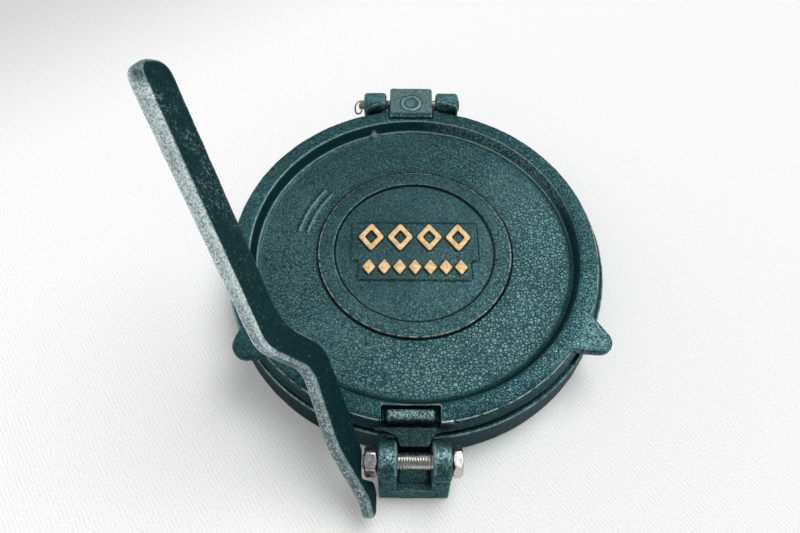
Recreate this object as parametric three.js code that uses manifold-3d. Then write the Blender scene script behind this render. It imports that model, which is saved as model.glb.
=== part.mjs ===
// Cast-iron poori press: a base and a hinged lid, a loose lever, and their bolt, nut and pins.
// Millimetres, +Z up. The origin is on the table under the centre of the plates, +Y to the hinge.

import * as THREE from 'three';
import { mergeVertices } from 'three/addons/utils/BufferGeometryUtils.js';
import Module from 'manifold-3d';

const wasm = await Module();
wasm.setup();

// Plates and their levels

const rimRadius = 101.6; // an 8 inch lid, at the top edge of its rim
const rimWidth = 9.6;
const recessDepth = 7.7;
const recessSlope = 3.1;
const lidWall = 8.7;
const lidFlare = 2.9;
const lidPlate = 3.9;
const pressGap = 0.4;
const lipDepth = 1.5;
const baseHeight = 21.5;
const baseStep = 4.8;
const baseFlare = 2;
const basePlate = 5;
const skirtWall = 4.6;
const lipWidth = 11.4;
const faceInset = 1.6;
const baseSetX = 0.8; // how far the base is cast off the lid's middle
const baseSetY = 0.4;
const bossRadius = 18;
const castEdge = 1.2;
const rimEdge = 2;

// Raised work on the lid

const ringOuter = 54.7;
const ringWidth = 8.8;
const ringRise = 1.5;
const ringSlope = 0.7;
const plaqueRise = 0.8;
const plaqueEdge = 1.5;
const upperPlaqueWidth = 72;
const upperPlaqueTop = 17.6;
const lowerPlaqueWidth = 63;
const lowerPlaqueTop = -7.5;
const lowerPlaqueFoot = -19.8;
const motifRise = 1.2;
const lozengeWidth = 14.6;
const lozengeHeight = 18.6;
const lozengeStroke = 3.3;
const lozengePitch = 16.6;
const lozengeRow = 7.4;
const lozengeCount = 4;
const beadWidth = 7;
const beadHeight = 9.4;
const beadPitch = 8.6;
const beadRow = -12.4;
const beadCount = 7;
const markRadius = 69;
const markWidth = 1.6;
const markSpacing = 5;
const markRise = 0.5;
const markStartAngle = 142;
const markEndAngle = 170;

// Ears of the lid

const rightEarReach = 15.4;
const leftEarReach = 11.4;
const earThick = 5;
const earHalfTip = 3.2;
const earHalfRoot = 12;
const earCorner = 6;
const rightEarAngle = -32;
const leftEarAngle = 215.6;

// Rear hinge

const hingeReach = 7;
const hingeDrop = 3;
const hingeSetX = -1.6;
const knuckleRadius = 7.6;
const knuckleWidth = 14.4;
const knuckleGap = 2.4;
const padWidth = 27.2;
const padRise = 2;
const padFront = 7.8;
const padRadius = 11.2;
const padEdge = 1;
const padRingRadius = 6.4;
const padRingWidth = 2;
const padRingRise = 0.5;
const pinRadius = 3;
const boreClearance = 0.3;
const turnClearance = 0.6;
const rimClearance = 1.1;
const armFoot = 5;
const pinTail = 3.6;
const pinHead = 0.8;
const pinHeadRadius = 3.7;
const splitWire = 0.6;
const splitRing = 2.9;
const splitLeg = 4;
const splitTurnAngle = -48;

// Front fork

const boltReach = 15.3;
const boltDrop = 8;
const lugRadius = 9.5;
const lugWidth = 9.1;
const forkGap = 16.4;
const forkSetX = -1.3;
const lugFoot = 3.4;
const lugCrease = 17;
const lugShoulder = 1.5;
const webHeight = 12;
const webWall = 4;
const webLean = 1.4;
const forkFloor = 4;
const boltRadius = 4;
const hexFlats = 12.8;
const nutThick = 6;
const headThick = 4.8;
const boltTip = 0.9;
const hexChamfer = 1;
const seatGap = 0.3;
const nutTurnAngle = 12;
const headTurnAngle = 5;

// Nose and tongue of the lid

const noseWidth = 24;
const noseDepth = 6.4;
const noseRound = 3;
const noseSlot = 2.3;
const noseSet = 1.6;
const noseSetX = -3.2;
const frontPadLeft = 17.6;
const frontPadRight = 17.3;
const frontPadInset = 0.3;
const frontPadRise = 0.25;
const notchDepth = 5;
const grooveWidth = 3;
const grooveDepth = 2.4;
const tongueReach = 9;
const tongueTip = 15;
const tongueRoot = 38;
const tongueThick = 3.5;
const tongueRound = 1.6;

// Lever: a flat S-shaped bar that lies on its narrow edge, leaning to the left

const leverLeanAngle = 34;
const leverThick = 7;
const gripThick = 10;
const leverWidth = 16.4;
const gripSwell = 1.5;
const leverBevel = 1.3;
const leverSetX = -25;
const leverDrop = 0.56;
const notchClear = 0.5;
const notchSweep = 1.6;
const gripAngle = 43.3;
const gripEnd = 197;
const gripOffset = 20.9;
const gripCorner = 8;
const jogFront = 32.5;
const jogFrontTop = 70.2;
const jogFrontFoot = 41.4;
const jogBack = 47.8;
const jogBackTop = 61.5;
const jogBackFoot = 32.8;
const shoulderReach = 2.5;
const shoulderHeight = 20.8;
const neckReach = 16.5;
const neckDrop = 3.5;
const heelReach = 11.5;
const toeReach = 24.4;
const toeTopDrop = 8.6;
const toeDrop = 12;
const toeCorner = 2;
const jogFrontBend = 7;
const jogBackBend = 10;

// Facets

const lathePieces = 72;
const roundPieces = 12;
const curvePieces = 2;
const outlinePieces = 6;
const bevelPieces = 1;
const wirePieces = 8;
const wireSteps = 36;
const overrun = 3;
const hexSides = 6;
const halfTurn = Math.PI;
const quarterTurn = Math.PI / 2;
const rad = THREE.MathUtils.degToRad;

// Levels and places worked out from the sizes

const baseFace = baseHeight - lipDepth;
const lidFace = baseFace + pressGap;
const lidFloor = lidFace + lidPlate;
const rimTop = lidFloor + recessDepth;
const lidBottom = rimTop - lidWall;
const recessRadius = rimRadius - rimWidth;
const recessFoot = recessRadius - recessSlope;
const lidRadius = rimRadius + lidFlare;
const baseRadius = rimRadius + baseStep;
const footRadius = baseRadius + baseFlare;
const ringInner = ringOuter - ringWidth;
const hingeY = rimRadius + hingeReach;
const hingeZ = rimTop - hingeDrop;
const boltY = -(rimRadius + boltReach);
const boltZ = rimTop - boltDrop;
const knuckleIn = padWidth / 2 + knuckleGap;
const knuckleOut = knuckleIn + knuckleWidth;
const lugIn = forkGap / 2;
const lugOut = lugIn + lugWidth;
const wallMiddle = footRadius - skirtWall;

// Solids

function toSolid(geometry) {
  const bare = geometry.clone();
  bare.deleteAttribute('normal');
  bare.deleteAttribute('uv');
  const welded = mergeVertices(bare, 1e-4);
  const index = welded.index.array;
  const corners = [];
  for (let i = 0; i < index.length; i += 3) {
    const [a, b, c] = [index[i], index[i + 1], index[i + 2]];
    if (a !== b && b !== c && c !== a) corners.push(a, b, c);
  }
  return new wasm.Manifold(new wasm.Mesh({
    numProp: 3,
    vertProperties: new Float32Array(welded.attributes.position.array),
    triVerts: new Uint32Array(corners),
  }));
}

function toGeometry(solid) {
  const mesh = solid.getMesh();
  const geometry = new THREE.BufferGeometry();
  geometry.setAttribute('position', new THREE.BufferAttribute(new Float32Array(mesh.vertProperties), 3));
  geometry.setIndex(new THREE.BufferAttribute(new Uint32Array(mesh.triVerts), 1));
  geometry.computeVertexNormals();
  return geometry;
}

function join(...pieces) {
  return pieces.reduce((whole, piece) => whole.add(piece));
}

// An outline from corners [x, y, rounding]
function rounded(corners) {
  const shape = new THREE.Shape();
  const count = corners.length;
  corners.forEach(([x, y, r = 0], i) => {
    const here = new THREE.Vector2(x, y);
    const before = new THREE.Vector2(...corners[(i + count - 1) % count]).sub(here);
    const after = new THREE.Vector2(...corners[(i + 1) % count]).sub(here);
    const reach = Math.min(r, before.length() / 2, after.length() / 2);
    const start = before.setLength(reach).add(here);
    const end = after.setLength(reach).add(here);
    if (i === 0) shape.moveTo(start.x, start.y);
    else shape.lineTo(start.x, start.y);
    if (reach > 0) shape.quadraticCurveTo(x, y, end.x, end.y);
  });
  shape.closePath();
  return shape;
}

// A turned solid from corners [radius, height, rounding] that start and end on the axis
function turned(corners) {
  const path = new THREE.Path();
  path.moveTo(corners[0][0], corners[0][1]);
  for (let i = 1; i < corners.length - 1; i += 1) {
    const [x, y, r = 0] = corners[i];
    const here = new THREE.Vector2(x, y);
    const before = new THREE.Vector2(...corners[i - 1]).sub(here);
    const after = new THREE.Vector2(...corners[i + 1]).sub(here);
    const reach = Math.min(r, before.length() / 2, after.length() / 2);
    const start = before.setLength(reach).add(here);
    const end = after.setLength(reach).add(here);
    path.lineTo(start.x, start.y);
    if (reach > 0) path.quadraticCurveTo(x, y, end.x, end.y);
  }
  const last = corners[corners.length - 1];
  path.lineTo(last[0], last[1]);
  const geometry = new THREE.LatheGeometry(path.getPoints(curvePieces), lathePieces);
  geometry.rotateX(quarterTurn);
  return toSolid(geometry);
}

// A prism on a plan outline, from one height to another
function upright(shape, bottom, top, bevel = 0) {
  return toSolid(uprightGeometry(shape, bottom, top, bevel));
}

function uprightGeometry(shape, bottom, top, bevel) {
  const geometry = new THREE.ExtrudeGeometry(shape, {
    depth: top - bottom - 2 * bevel,
    curveSegments: outlinePieces,
    bevelEnabled: bevel > 0,
    bevelThickness: bevel,
    bevelSize: bevel,
    bevelOffset: -bevel,
    bevelSegments: bevelPieces,
  });
  geometry.translate(0, 0, bottom + bevel);
  return geometry;
}

// A prism on a side outline (y, z), from one x to another
function sideways(shape, left, right, bevel = 0) {
  const geometry = new THREE.ExtrudeGeometry(shape, {
    depth: right - left - 2 * bevel,
    curveSegments: roundPieces,
    bevelEnabled: bevel > 0,
    bevelThickness: bevel,
    bevelSize: bevel,
    bevelOffset: -bevel,
    bevelSegments: bevelPieces,
  });
  const turn = new THREE.Matrix4().makeBasis(
    new THREE.Vector3(0, 1, 0),
    new THREE.Vector3(0, 0, 1),
    new THREE.Vector3(1, 0, 0),
  );
  geometry.applyMatrix4(turn);
  geometry.translate(left + bevel, 0, 0);
  return toSolid(geometry);
}

function rod(radius, left, right, y, z, bevel = 0) {
  const circle = new THREE.Shape();
  circle.absarc(y, z, radius, 0, 2 * halfTurn);
  return sideways(circle, left, right, bevel);
}

function box(x0, x1, y0, y1, z0, z1) {
  const geometry = new THREE.BoxGeometry(x1 - x0, y1 - y0, z1 - z0);
  geometry.translate((x0 + x1) / 2, (y0 + y1) / 2, (z0 + z1) / 2);
  return toSolid(geometry);
}

function mirrored(make) {
  return join(make(1), make(-1));
}

function span(side, near, far) {
  return side > 0 ? [near, far] : [-far, -near];
}

// Base

function baseCasting() {
  const lipRadius = baseRadius - lipWidth;
  const underside = baseFace - basePlate;
  const pan = turned([
    [0, 0],
    [bossRadius, 0, castEdge],
    [bossRadius, underside, castEdge],
    [baseRadius - skirtWall, underside, castEdge],
    [footRadius - skirtWall, 0, castEdge],
    [footRadius, 0, castEdge],
    [baseRadius, baseHeight, castEdge],
    [lipRadius, baseHeight, castEdge],
    [lipRadius - lipDepth, baseFace],
    [0, baseFace],
  ]).translate([baseSetX, baseSetY, 0]);
  const pocket = rod(padRadius + turnClearance, -knuckleIn, knuckleIn, hingeY, hingeZ);
  const arms = mirrored((side) => hingeArm(side));
  const pinBore = rod(pinRadius + boreClearance, -knuckleOut - overrun, knuckleOut + overrun, hingeY, hingeZ);
  const boltBore = rod(boltRadius + boreClearance, -lugOut - overrun, lugOut + overrun, boltY, boltZ);
  const fork = mirrored((side) => forkLug(side)).add(forkWeb());
  const bores = atHinge(pinBore).add(atFork(boltBore));
  return join(pan.subtract(atHinge(pocket)), atHinge(arms), atFork(fork)).subtract(bores);
}

function atHinge(solid) {
  return solid.translate([hingeSetX, 0, 0]);
}

function atFork(solid) {
  return solid.translate([forkSetX, 0, 0]);
}

function hingeArm(side) {
  const [left, right] = span(side, knuckleIn, knuckleOut);
  const back = hingeY + knuckleRadius;
  const inside = hingeY - armFoot;
  const barrel = rod(knuckleRadius, left, right, hingeY, hingeZ, castEdge);
  const arm = rounded([
    [inside, 0],
    [hingeY + armFoot, 0, castEdge],
    [back, hingeZ - knuckleRadius, knuckleRadius / 2],
    [back, hingeZ],
    [hingeY - knuckleRadius, hingeZ],
    [inside, baseHeight],
  ]);
  return barrel.add(sideways(arm, left, right, castEdge / 2));
}

function forkLug(side) {
  const [left, right] = span(side, lugIn, lugOut);
  const front = boltY - lugRadius - lugFoot;
  const root = -wallMiddle;
  const barrel = rod(lugRadius, left, right, boltY, boltZ, castEdge);
  const foot = rounded([
    [root, 0],
    [front, 0, castEdge],
    [boltY - lugRadius, lugCrease, castEdge],
    [boltY, boltZ],
    [boltY + lugRadius, baseHeight - lugShoulder],
    [root, baseHeight - lugShoulder],
  ]);
  return barrel.add(sideways(foot, left, right, castEdge / 2));
}

function forkWeb() {
  const front = boltY - lugRadius - lugFoot;
  const web = rounded([
    [front, 0],
    [front + webLean, webHeight, castEdge / 2],
    [front + webLean + webWall, webHeight, castEdge / 2],
    [front + webLean + webWall, 0],
  ]);
  const wide = lugIn + castEdge;
  const floor = box(-wide, wide, front + webWall, -wallMiddle, 0, forkFloor);
  return sideways(web, -wide, wide).add(floor);
}

// Lid

function lidCasting() {
  const faceRadius = recessRadius - faceInset;
  const pan = turned([
    [0, lidFace],
    [faceRadius, lidFace, castEdge],
    [faceRadius + faceInset, lidBottom],
    [lidRadius, lidBottom, castEdge],
    [rimRadius, rimTop, rimEdge],
    [recessRadius, rimTop, castEdge],
    [recessFoot, lidFloor, rimEdge],
    [ringOuter + ringSlope, lidFloor],
    [ringOuter, lidFloor + ringRise, ringSlope],
    [ringInner, lidFloor + ringRise, ringSlope],
    [ringInner - ringSlope, lidFloor],
    [0, lidFloor],
  ]);
  const ears = ear(rightEarAngle, rightEarReach).add(ear(leftEarAngle, leftEarReach));
  const body = join(trimmedForHinge(pan.add(atHinge(flares()))), ears, atHinge(hingePad()), frontPad());
  const fronted = body.subtract(atNose(frontNotch())).add(atNose(nose())).add(atFork(tongue()));
  const bore = rod(pinRadius + boreClearance, -padWidth, padWidth, hingeY, hingeZ);
  return join(fronted.subtract(bore), plaque(), motifs(), castMarks(), atHinge(padRing()));
}

function trimmedForHinge(pan) {
  const edge = hingeY - knuckleRadius - turnClearance;
  const room = mirrored((side) => {
    const [left, right] = span(side, knuckleIn - turnClearance, knuckleOut + turnClearance);
    const barrel = rod(knuckleRadius + rimClearance, left, right, hingeY, hingeZ);
    return barrel.add(box(left, right, edge, hingeY, lidFace, hingeZ));
  });
  return pan.subtract(atHinge(room));
}

function hingePad() {
  const half = padWidth / 2;
  const front = hingeY - hingeReach - padFront;
  const top = rimTop + padRise;
  const barrel = rod(padRadius, -half, half, hingeY, hingeZ, padEdge);
  const above = box(-half - overrun, half + overrun, front, hingeY + 2 * padRadius, top, top + 2 * padRadius);
  const block = rounded([
    [front, lidBottom + padEdge],
    [front, top, padEdge],
    [hingeY + padEdge, top],
    [hingeY + padEdge, hingeZ],
    [hingeY, lidBottom],
    [recessRadius, lidBottom],
  ]);
  return barrel.subtract(above).add(sideways(block, -half, half, padEdge / 2));
}

// Hollow fillets that run from the rim out to the hinge pad
function flares() {
  return mirrored((side) => {
    const half = padWidth / 2;
    const outer = knuckleIn - turnClearance;
    const shape = new THREE.Shape();
    const far = 1.5 * half;
    const rimEdgeY = Math.sqrt(rimRadius ** 2 - far ** 2);
    shape.moveTo(side * (half - padEdge), recessRadius);
    shape.lineTo(side * far, rimEdgeY - castEdge);
    shape.quadraticCurveTo(side * outer, rimEdgeY + castEdge, side * half, hingeY);
    shape.lineTo(side * (half - padEdge), hingeY);
    shape.closePath();
    return upright(shape, lidBottom + castEdge, rimTop);
  });
}

function ear(angle, reach) {
  const root = recessRadius + castEdge;
  const tip = rimRadius + reach;
  const shape = rounded([
    [root, -earHalfRoot - castEdge],
    [rimRadius, -earHalfRoot, earCorner],
    [tip, -earHalfTip - castEdge, earCorner],
    [tip, earHalfTip + castEdge, earCorner],
    [rimRadius, earHalfRoot, earCorner],
    [root, earHalfRoot + castEdge],
  ]);
  return upright(shape, rimTop - earThick, rimTop, castEdge).rotate([0, 0, angle]);
}

// A flat pad on the rim, round the nose
function frontPad() {
  const inner = recessRadius + castEdge;
  const top = rimTop + frontPadRise;
  const block = box(-frontPadLeft, frontPadRight, -(rimRadius - frontPadInset), 0, lidBottom + castEdge, top);
  return block.subtract(turned([[0, lidFace], [inner, lidFace], [inner, top + overrun], [0, top + overrun]]));
}

function atNose(solid) {
  return solid.translate([noseSetX, 0, 0]);
}

function frontNotch() {
  const half = noseWidth / 2 + noseSlot;
  const back = -(recessRadius + noseSet - noseSlot / 2);
  const notch = box(-half, half, -lidRadius - overrun, back, rimTop - notchDepth, rimTop + overrun);
  const front = back - noseDepth - noseSlot / 2;
  const bottom = rimTop - notchDepth - grooveDepth;
  return notch.add(box(-half, half, front - grooveWidth, front + castEdge, bottom, rimTop));
}

function nose() {
  const half = noseWidth / 2;
  const back = -(recessRadius + noseSet);
  const front = back - noseDepth;
  const bar = rounded([
    [back, rimTop - notchDepth - castEdge],
    [back, rimTop, noseRound],
    [front, rimTop, noseRound],
    [front, rimTop - notchDepth - castEdge],
  ]);
  return sideways(bar, -half, half, castEdge);
}

function tongue() {
  const top = rimTop - notchDepth;
  const tip = -(rimRadius + tongueReach);
  const root = -Math.sqrt(lidRadius ** 2 - (tongueRoot / 2) ** 2);
  const side = [root - castEdge, -(boltY + lugRadius)];
  const shape = new THREE.Shape();
  shape.moveTo(-tongueRoot / 2, root + castEdge);
  shape.lineTo(-tongueRoot / 2, root);
  shape.quadraticCurveTo(-tongueTip / 2, side[0], -tongueTip / 2, tip + tongueRound);
  shape.quadraticCurveTo(-tongueTip / 2, tip, -tongueTip / 2 + tongueRound, tip);
  shape.lineTo(tongueTip / 2 - tongueRound, tip);
  shape.quadraticCurveTo(tongueTip / 2, tip, tongueTip / 2, tip + tongueRound);
  shape.quadraticCurveTo(tongueTip / 2, side[0], tongueRoot / 2, root);
  shape.lineTo(tongueRoot / 2, root + castEdge);
  shape.closePath();
  return upright(shape, top - tongueThick, top);
}

// Raised work: a plain stepped plaque with lozenges over beads, and two short arcs

function plaque() {
  const slab = (width, bottom, top) => {
    const half = width / 2;
    const shape = rounded([
      [-half, bottom, plaqueEdge],
      [half, bottom, plaqueEdge],
      [half, top, plaqueEdge],
      [-half, top, plaqueEdge],
    ]);
    return upright(shape, lidFloor - castEdge, lidFloor + plaqueRise);
  };
  const lower = slab(lowerPlaqueWidth, lowerPlaqueFoot, lowerPlaqueTop + plaqueEdge);
  return slab(upperPlaqueWidth, lowerPlaqueTop, upperPlaqueTop).add(lower);
}

function diamond(x, y, width, height) {
  const shape = new THREE.Shape();
  shape.moveTo(x - width / 2, y);
  shape.lineTo(x, y - height / 2);
  shape.lineTo(x + width / 2, y);
  shape.lineTo(x, y + height / 2);
  shape.closePath();
  return shape;
}

function row(count, pitch, make) {
  return join(...Array.from({ length: count }, (_, i) => make((i - (count - 1) / 2) * pitch)));
}

function motifs() {
  const bottom = lidFloor - castEdge;
  const top = lidFloor + plaqueRise + motifRise;
  const lozenges = row(lozengeCount, lozengePitch, (x) => {
    const shape = diamond(x, lozengeRow, lozengeWidth, lozengeHeight);
    const innerShare = 1 - (2 * lozengeStroke) / lozengeWidth;
    shape.holes.push(diamond(x, lozengeRow, lozengeWidth * innerShare, lozengeHeight * innerShare));
    return upright(shape, bottom, top);
  });
  const beads = row(beadCount, beadPitch, (x) => {
    return upright(diamond(x, beadRow, beadWidth, beadHeight), bottom, top);
  });
  return lozenges.add(beads);
}

// A flat band along an arc about the origin
function band(outer, width, from, to) {
  const shape = new THREE.Shape();
  shape.absarc(0, 0, outer, from, to, false);
  shape.absarc(0, 0, outer - width, to, from, true);
  shape.closePath();
  return shape;
}

function castMarks() {
  const mark = (outer) => {
    const shape = band(outer, markWidth, rad(markStartAngle), rad(markEndAngle));
    return upright(shape, lidFloor - castEdge, lidFloor + markRise);
  };
  return mark(markRadius).add(mark(markRadius - markSpacing));
}

// A raised ring in the middle of the hinge pad's top
function padRing() {
  const shape = new THREE.Shape();
  shape.absarc(0, 0, padRingRadius, 0, 2 * halfTurn);
  const hole = new THREE.Path();
  hole.absarc(0, 0, padRingRadius - padRingWidth, 0, 2 * halfTurn);
  shape.holes.push(hole);
  const top = rimTop + padRise;
  const middle = hingeY - hingeReach / 2;
  return upright(shape, top - padEdge, top + padRingRise).translate([0, middle, 0]);
}

// Lever

// Its outline (a, b): a runs back along +Y and b up the leaning side, both from the bolt's axis
function leverOutline() {
  const along = new THREE.Vector2(Math.cos(rad(gripAngle)), Math.sin(rad(gripAngle)));
  const across = new THREE.Vector2(-along.y, along.x);
  const gripCornerAt = (offset) => {
    const point = along.clone().multiplyScalar(gripEnd).addScaledVector(across, gripOffset + offset);
    return [point.x, point.y, gripCorner];
  };
  return rounded([
    gripCornerAt(leverWidth / 2),
    [jogFront, jogFrontTop, jogFrontBend],
    [jogFront, jogFrontFoot, jogFrontBend],
    [shoulderReach, shoulderHeight, jogFrontBend],
    [-neckReach, -neckDrop, toeCorner],
    [-toeReach, -toeTopDrop, toeCorner],
    [-toeReach + toeCorner, -toeDrop, toeCorner],
    [-heelReach, -toeDrop, toeCorner],
    [jogBack, jogBackFoot, jogBackBend],
    [jogBack, jogBackTop, jogBackBend],
    gripCornerAt(-leverWidth / 2 - gripSwell),
  ]);
}

// Room for the nut and the bolt's end, and for both as the lever is lifted with the lid
function nutRoom() {
  const reach = hexFlats / Math.sqrt(3) + notchClear;
  const left = -(lugOut + seatGap + nutThick + boltTip + notchClear);
  const round = rod(reach, left, -lugOut, boltY, boltZ);
  return atFork(round.add(box(left, -lugOut, boltY - reach, boltY + reach + notchSweep, 0, boltZ)));
}

// The bar thickens evenly from its jog to the end of the grip
function leverBar() {
  const geometry = uprightGeometry(leverOutline(), -leverThick, 0, leverBevel);
  const end = gripEnd * Math.cos(rad(gripAngle));
  const place = geometry.attributes.position;
  for (let i = 0; i < place.count; i += 1) {
    const share = THREE.MathUtils.clamp((place.getX(i) - jogFront) / (end - jogFront), 0, 1);
    const thick = THREE.MathUtils.lerp(leverThick, gripThick, share);
    place.setZ(i, (place.getZ(i) * thick) / leverThick);
  }
  return toSolid(geometry);
}

function leverFrame() {
  const lean = rad(leverLeanAngle);
  const frame = new THREE.Matrix4().makeBasis(
    new THREE.Vector3(0, 1, 0),
    new THREE.Vector3(-Math.sin(lean), 0, Math.cos(lean)),
    new THREE.Vector3(Math.cos(lean), 0, Math.sin(lean)),
  );
  return frame.setPosition(leverSetX, boltY, boltZ - leverDrop);
}

function leverPiece(frame) {
  const inPlace = leverBar().transform(frame.toArray());
  return inPlace.subtract(nutRoom()).transform(frame.clone().invert().toArray());
}

// Bolt, nut and pins, each along its own X

function hexagon(flats) {
  const shape = new THREE.Shape();
  const radius = flats / Math.sqrt(3);
  for (let i = 0; i < hexSides; i += 1) {
    const angle = rad(360 / hexSides) * i;
    const [y, z] = [radius * Math.cos(angle), radius * Math.sin(angle)];
    if (i === 0) shape.moveTo(y, z);
    else shape.lineTo(y, z);
  }
  shape.closePath();
  return shape;
}

function hexBody(left, right) {
  const block = sideways(hexagon(hexFlats), left, right);
  const corner = hexFlats / Math.sqrt(3);
  const flat = hexFlats / 2;
  const rounder = turned([
    [0, left],
    [flat, left],
    [corner, left + hexChamfer],
    [corner, right - hexChamfer],
    [flat, right],
    [0, right],
  ]).rotate([0, 90, 0]);
  return block.intersect(rounder);
}

function forkBolt() {
  const under = lugOut + seatGap;
  const tip = -(lugOut + seatGap + nutThick + boltTip);
  const head = hexBody(under, under + headThick).rotate([headTurnAngle, 0, 0]);
  return head.add(rod(boltRadius, tip, under + castEdge, 0, 0, boltTip));
}

function forkNut() {
  const hole = rod(boltRadius + boreClearance, -overrun, nutThick + overrun, 0, 0);
  return hexBody(0, nutThick).rotate([nutTurnAngle, 0, 0]).subtract(hole);
}

function hingePin() {
  const right = knuckleOut + seatGap;
  const left = -(knuckleOut + pinTail);
  const shank = rod(pinRadius, left, right + pinHead / 2, 0, 0, splitWire);
  const head = rod(pinHeadRadius, right, right + pinHead, 0, 0, pinHead / 3);
  const holeRadius = splitWire + boreClearance;
  const hole = new THREE.CylinderGeometry(holeRadius, holeRadius, 4 * pinRadius, roundPieces);
  hole.rotateX(quarterTurn);
  hole.translate(left + pinTail / 2, 0, 0);
  return shank.add(head).subtract(toSolid(hole));
}

// A wire through the pin's tail, bent round into an open ring in front of it
function splitPin() {
  const curve = new THREE.CurvePath();
  const legTop = new THREE.Vector3(0, 0, splitLeg);
  const legBottom = new THREE.Vector3(0, 0, -splitLeg);
  const out = -2 * splitRing;
  const gap = 2 * splitWire;
  curve.add(new THREE.LineCurve3(legTop, legBottom));
  curve.add(new THREE.CubicBezierCurve3(
    legBottom,
    new THREE.Vector3(0, 0, -splitLeg - splitRing),
    new THREE.Vector3(0, out, -splitLeg - splitRing),
    new THREE.Vector3(0, out, 0),
  ));
  curve.add(new THREE.CubicBezierCurve3(
    new THREE.Vector3(0, out, 0),
    new THREE.Vector3(0, out, splitLeg + splitRing / 2),
    new THREE.Vector3(0, out / 2, splitLeg + splitRing / 2),
    new THREE.Vector3(0, -gap - splitWire, splitLeg),
  ));
  const section = new THREE.Shape();
  section.absarc(0, 0, splitWire, 0, 2 * halfTurn);
  const wire = new THREE.ExtrudeGeometry(section, {
    steps: wireSteps,
    curveSegments: wirePieces / 2,
    bevelEnabled: false,
    extrudePath: curve,
  });
  return toSolid(wire).rotate([0, 0, splitTurnAngle]);
}

// Assembly

const iron = { color: 0x1f5a5c, roughness: 0.45, metalness: 0.35 };
const steel = { color: 0xb9b6ae, roughness: 0.3, metalness: 1 };
const press = new THREE.Group();

function addPiece(name, solid, look, place) {
  const mesh = new THREE.Mesh(toGeometry(solid), new THREE.MeshStandardMaterial(look));
  mesh.name = name;
  if (place) place(mesh);
  press.add(mesh);
}

addPiece('base', baseCasting(), iron);
addPiece('lid', lidCasting(), iron);
const leaning = leverFrame();
addPiece('lever', leverPiece(leaning), iron, (mesh) => {
  leaning.decompose(mesh.position, mesh.quaternion, mesh.scale);
});
addPiece('fork_bolt', forkBolt(), steel, (mesh) => mesh.position.set(forkSetX, boltY, boltZ));
addPiece('fork_nut', forkNut(), steel, (mesh) => {
  mesh.position.set(forkSetX - (lugOut + seatGap + nutThick), boltY, boltZ);
});
addPiece('hinge_pin', hingePin(), steel, (mesh) => mesh.position.set(hingeSetX, hingeY, hingeZ));
addPiece('split_pin', splitPin(), steel, (mesh) => {
  mesh.position.set(hingeSetX - (knuckleOut + pinTail / 2), hingeY, hingeZ);
});

export default press;
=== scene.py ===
"""Looks for the cast-iron poori press: castings in hammertone paint, zinc bolt and nut, steel pins."""

import math

import bpy
import numpy as np
from mathutils import Matrix, Vector


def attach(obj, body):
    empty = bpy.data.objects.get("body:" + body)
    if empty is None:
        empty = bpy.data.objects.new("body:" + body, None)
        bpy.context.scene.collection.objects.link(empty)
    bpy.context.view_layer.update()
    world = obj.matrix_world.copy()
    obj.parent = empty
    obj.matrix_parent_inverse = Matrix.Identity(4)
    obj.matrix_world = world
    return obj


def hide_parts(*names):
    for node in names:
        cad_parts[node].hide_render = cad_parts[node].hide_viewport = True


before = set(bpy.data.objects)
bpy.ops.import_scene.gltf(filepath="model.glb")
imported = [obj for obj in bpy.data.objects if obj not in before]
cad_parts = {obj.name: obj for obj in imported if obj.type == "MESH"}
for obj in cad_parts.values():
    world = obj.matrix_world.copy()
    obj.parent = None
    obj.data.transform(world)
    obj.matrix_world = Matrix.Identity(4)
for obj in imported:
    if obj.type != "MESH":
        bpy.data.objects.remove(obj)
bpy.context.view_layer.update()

# Sizes, in metres, and angles, in degrees

MM = 0.001
LATHE_SIDES = 72
HINGE_X = -1.6 * MM
HINGE_Y = 108.6 * MM
HINGE_Z = 29 * MM
FORK_X = -1.3 * MM
NOSE_X = -3.2 * MM
BOLT_Y = -116.9 * MM
BOLT_Z = 24 * MM
LID_FLOOR = 24.3 * MM
RIM_TOP = 32 * MM
BASE_MIDDLE = (0.8 * MM, 0.4 * MM)
LEVER_LEAN = 34
RIM_RADIUS = 101.6 * MM
RECESS_RADIUS = 92 * MM
WALL_FOOT = RECESS_RADIUS - 3.1 * MM
RING_OUTER = 54.7 * MM
BASE_RADIUS = 106.4 * MM
BASE_TOP = 21.5 * MM
MARK_RADIUS = 69 * MM
MARK_SPACING = 5 * MM
MARK_WIDTH = 1.6 * MM
MARK_FROM = 141
MARK_TO = 171
MARK_FADE = 2
FLAW_AT = (-25 * MM, 85 * MM)
FLAW_RADIUS = 2 * MM
FLAW_HEIGHT = 1.8 * MM
PAD_RING_AT = (HINGE_X, HINGE_Y - 3.5 * MM)
PAD_RING = 6.4 * MM
PAD_RING_WIDTH = 2 * MM
LID_FACE = 20.4 * MM
BASE_FACE = 20 * MM
FACE_RADIUS = 90.4 * MM
DISC_RADIUS = 89 * MM
RING_INNER = 45.9 * MM
PLAQUE_TOP = 25.1 * MM

# Plain colours

WHITE = (1, 1, 1)
BLACK = (0, 0, 0)

# How much brighter than lit cloth the floor looks

FLOOR_GLOW = 0.08

# Grid sizes that the castings are remade at

LID_GRID = 0.5 * MM
BASE_GRID = 0.65 * MM
LEVER_GRID = 0.6 * MM

# Unevenness of their skin, as rows of height, wavelength and seed, and the height of foot it spares

UNEVEN = ((0.055 * MM, 9 * MM, 3), (0.03 * MM, 3.2 * MM, 5))
WAVE_COUNT = 14
FLAT_FOOT = 1.5 * MM

# What counts as the press face, as skin seen from above, and as the lever's narrow side

FACE_LEVEL = 0.9
FACE_NEAR = 0.4 * MM
SKIN_LEVEL = 0.2
SKIN_ABOVE = LID_FACE + 2 * MM
NARROW_FROM = 0.38
NARROW_FADE = 0.26
UPWARD_FROM = -0.15
UPWARD_FADE = 0.3

# The camera of the photograph

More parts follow.
